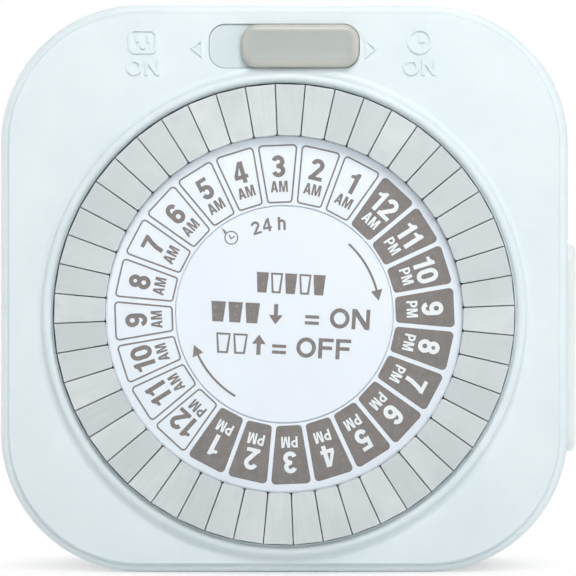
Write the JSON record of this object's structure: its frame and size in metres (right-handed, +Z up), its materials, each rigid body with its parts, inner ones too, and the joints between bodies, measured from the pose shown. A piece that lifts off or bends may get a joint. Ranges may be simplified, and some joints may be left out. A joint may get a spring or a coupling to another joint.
{
  "type": "plug in timer switch",
  "caption": "Square wall-plug timer switch: a 24 hour dial ringed with push-down pins, an override slide on top and a grounded socket on its right-hand side.",
  "frame": {"origin": "on the wall face of the case, midway between the line and neutral blades", "axes": "+Z up the wall, +X to the right as the dial is seen, +Y out of the back along the blades, so the dial faces -Y"},
  "size_m": [0.0716, 0.06, 0.07],
  "materials": {
    "case_white": "fine satin",
    "insert_cream": "satin",
    "nylon": "natural, satin",
    "label": "printed, semi gloss",
    "slide_taupe": "satin",
    "pin_grey": "satin",
    "brass": "stamped, bright",
    "nickel": "nickel plated",
    "silver": "silver plated",
    "steel": "zinc plated",
    "copper": "enamelled copper winding",
    "ferrite": "sintered ferrite"
  },
  "bodies": {
    "housing": {"front_cover": "case_white", "rear_case": "case_white", "outlet_block": "insert_cream", "movement_plate": "nylon", "centre_disc": "label", "bypass_line_contact": "brass", "bypass_load_contact": "brass", "fixed_contacts": "silver", "lever_axle": "steel", "lever_spring": "steel", "motor_can": "steel", "motor_cover": "steel", "motor_coil": "copper", "idler_axle": "steel", "gear_bridge": "nylon", "line_blade": "nickel", "neutral_blade": "nickel", "earth_pin": "nickel", "line_strap": "brass", "load_strap": "brass", "neutral_strap": "brass", "outlet_line_contact": "brass", "outlet_neutral_contact": "brass", "outlet_earth_contact": "brass"},
    "dial": {"dial_wheel": "nylon", "hour_ring": "label"},
    "override": {"override_slide": "slide_taupe", "slide_bridge": "brass"},
    "output": {"motor_output": "brass"},
    "idler": {"idler_gear": "label"},
    "clutch": {"clutch_wheel": "label"},
    "drive": {"drive_pinion": "nylon", "clutch_spring": "steel"},
    "rotor": {"motor_rotor": "ferrite"},
    "lever": {"follower_lever": "pin_grey", "bridge_contact": "silver"},
    "pins_01am": {"pins_01am": "pin_grey"},
    "pins_02am": {"pins_02am": "pin_grey"},
    "pins_03am": {"pins_03am": "pin_grey"},
    "pins_04am": {"pins_04am": "pin_grey"},
    "pins_05am": {"pins_05am": "pin_grey"},
    "pins_06am": {"pins_06am": "pin_grey"},
    "pins_07am": {"pins_07am": "pin_grey"},
    "pins_08am": {"pins_08am": "pin_grey"},
    "pins_09am": {"pins_09am": "pin_grey"},
    "pins_10am": {"pins_10am": "pin_grey"},
    "pins_11am": {"pins_11am": "pin_grey"},
    "pins_12pm": {"pins_12pm": "pin_grey"},
    "pins_01pm": {"pins_01pm": "pin_grey"},
    "pins_02pm": {"pins_02pm": "pin_grey"},
    "pins_03pm": {"pins_03pm": "pin_grey"},
    "pins_04pm": {"pins_04pm": "pin_grey"},
    "pins_05pm": {"pins_05pm": "pin_grey"},
    "pins_06pm": {"pins_06pm": "pin_grey"},
    "pins_07pm": {"pins_07pm": "pin_grey"},
    "pins_08pm": {"pins_08pm": "pin_grey"},
    "pins_09pm": {"pins_09pm": "pin_grey"},
    "pins_10pm": {"pins_10pm": "pin_grey"},
    "pins_11pm": {"pins_11pm": "pin_grey"},
    "pins_12am": {"pins_12am": "pin_grey"}
  },
  "joints": [
    {"name": "dial_turn", "type": "hinge", "parent": "housing", "child": "dial", "pos_m": [0, -0.036, -0.0072], "axis": [0, 1, 0], "continuous": true},
    {"name": "override_slide", "type": "slide", "parent": "housing", "child": "override", "axis": [-1, 0, 0], "range_m": [0, 0.0039]},
    {"name": "output_turn", "type": "hinge", "parent": "housing", "child": "output", "pos_m": [-0.01662, -0.018, -0.02609], "axis": [0, 1, 0], "continuous": true},
    {"name": "rotor_turn", "type": "hinge", "parent": "housing", "child": "rotor", "pos_m": [-0.01372, -0.008, -0.01959], "axis": [0, 1, 0], "continuous": true},
    {"name": "idler_turn", "type": "hinge", "parent": "housing", "child": "idler", "pos_m": [-0.00741, -0.02, -0.02273], "axis": [0, 1, 0], "continuous": true},
    {"name": "clutch_turn", "type": "hinge", "parent": "housing", "child": "clutch", "pos_m": [-0.01353, -0.022, -0.01212], "axis": [0, 1, 0], "continuous": true},
    {"name": "drive_turn", "type": "hinge", "parent": "housing", "child": "drive", "pos_m": [-0.01353, -0.029, -0.01212], "axis": [0, 1, 0], "continuous": true},
    {"name": "lever_swing", "type": "hinge", "parent": "housing", "child": "lever", "pos_m": [-0.01469, -0.02075, 0.02532], "axis": [1, 0, 0], "range_deg": [0, 13.75], "deforming": ["lever_spring"]},
    {"name": "pins_01am_push", "type": "slide", "parent": "dial", "child": "pins_01am", "axis": [0, 1, 0], "range_m": [0, 0.003]},
    {"name": "pins_02am_push", "type": "slide", "parent": "dial", "child": "pins_02am", "axis": [0, 1, 0], "range_m": [0, 0.003]},
    {"name": "pins_03am_push", "type": "slide", "parent": "dial", "child": "pins_03am", "axis": [0, 1, 0], "range_m": [0, 0.003]},
    {"name": "pins_04am_push", "type": "slide", "parent": "dial", "child": "pins_04am", "axis": [0, 1, 0], "range_m": [0, 0.003]},
    {"name": "pins_05am_push", "type": "slide", "parent": "dial", "child": "pins_05am", "axis": [0, 1, 0], "range_m": [0, 0.003]},
    {"name": "pins_06am_push", "type": "slide", "parent": "dial", "child": "pins_06am", "axis": [0, 1, 0], "range_m": [0, 0.003]},
    {"name": "pins_07am_push", "type": "slide", "parent": "dial", "child": "pins_07am", "axis": [0, 1, 0], "range_m": [0, 0.003]},
    {"name": "pins_08am_push", "type": "slide", "parent": "dial", "child": "pins_08am", "axis": [0, 1, 0], "range_m": [0, 0.003]},
    {"name": "pins_09am_push", "type": "slide", "parent": "dial", "child": "pins_09am", "axis": [0, 1, 0], "range_m": [0, 0.003]},
    {"name": "pins_10am_push", "type": "slide", "parent": "dial", "child": "pins_10am", "axis": [0, 1, 0], "range_m": [0, 0.003]},
    {"name": "pins_11am_push", "type": "slide", "parent": "dial", "child": "pins_11am", "axis": [0, 1, 0], "range_m": [0, 0.003]},
    {"name": "pins_12pm_push", "type": "slide", "parent": "dial", "child": "pins_12pm", "axis": [0, 1, 0], "range_m": [0, 0.003]},
    {"name": "pins_01pm_push", "type": "slide", "parent": "dial", "child": "pins_01pm", "axis": [0, 1, 0], "range_m": [0, 0.003]},
    {"name": "pins_02pm_push", "type": "slide", "parent": "dial", "child": "pins_02pm", "axis": [0, 1, 0], "range_m": [0, 0.003]},
    {"name": "pins_03pm_push", "type": "slide", "parent": "dial", "child": "pins_03pm", "axis": [0, 1, 0], "range_m": [0, 0.003]},
    {"name": "pins_04pm_push", "type": "slide", "parent": "dial", "child": "pins_04pm", "axis": [0, 1, 0], "range_m": [0, 0.003]},
    {"name": "pins_05pm_push", "type": "slide", "parent": "dial", "child": "pins_05pm", "axis": [0, 1, 0], "range_m": [0, 0.003]},
    {"name": "pins_06pm_push", "type": "slide", "parent": "dial", "child": "pins_06pm", "axis": [0, 1, 0], "range_m": [0, 0.003]},
    {"name": "pins_07pm_push", "type": "slide", "parent": "dial", "child": "pins_07pm", "axis": [0, 1, 0], "range_m": [0, 0.003]},
    {"name": "pins_08pm_push", "type": "slide", "parent": "dial", "child": "pins_08pm", "axis": [0, 1, 0], "range_m": [0, 0.003]},
    {"name": "pins_09pm_push", "type": "slide", "parent": "dial", "child": "pins_09pm", "axis": [0, 1, 0], "range_m": [0, 0.003]},
    {"name": "pins_10pm_push", "type": "slide", "parent": "dial", "child": "pins_10pm", "axis": [0, 1, 0], "range_m": [0, 0.003]},
    {"name": "pins_11pm_push", "type": "slide", "parent": "dial", "child": "pins_11pm", "axis": [0, 1, 0], "range_m": [0, 0.003]},
    {"name": "pins_12am_push", "type": "slide", "parent": "dial", "child": "pins_12am", "axis": [0, 1, 0], "range_m": [0, 0.003]}
  ],
  "couplings": [
    {"joint": "drive_turn", "follows": "dial_turn", "ratio": 5},
    {"joint": "idler_turn", "follows": "output_turn", "ratio": -0.16667},
    {"joint": "clutch_turn", "follows": "output_turn", "ratio": 0.027778},
    {"joint": "lever_swing", "follows": "pins_05am_push", "rad_per_m": 79.99}
  ]
}
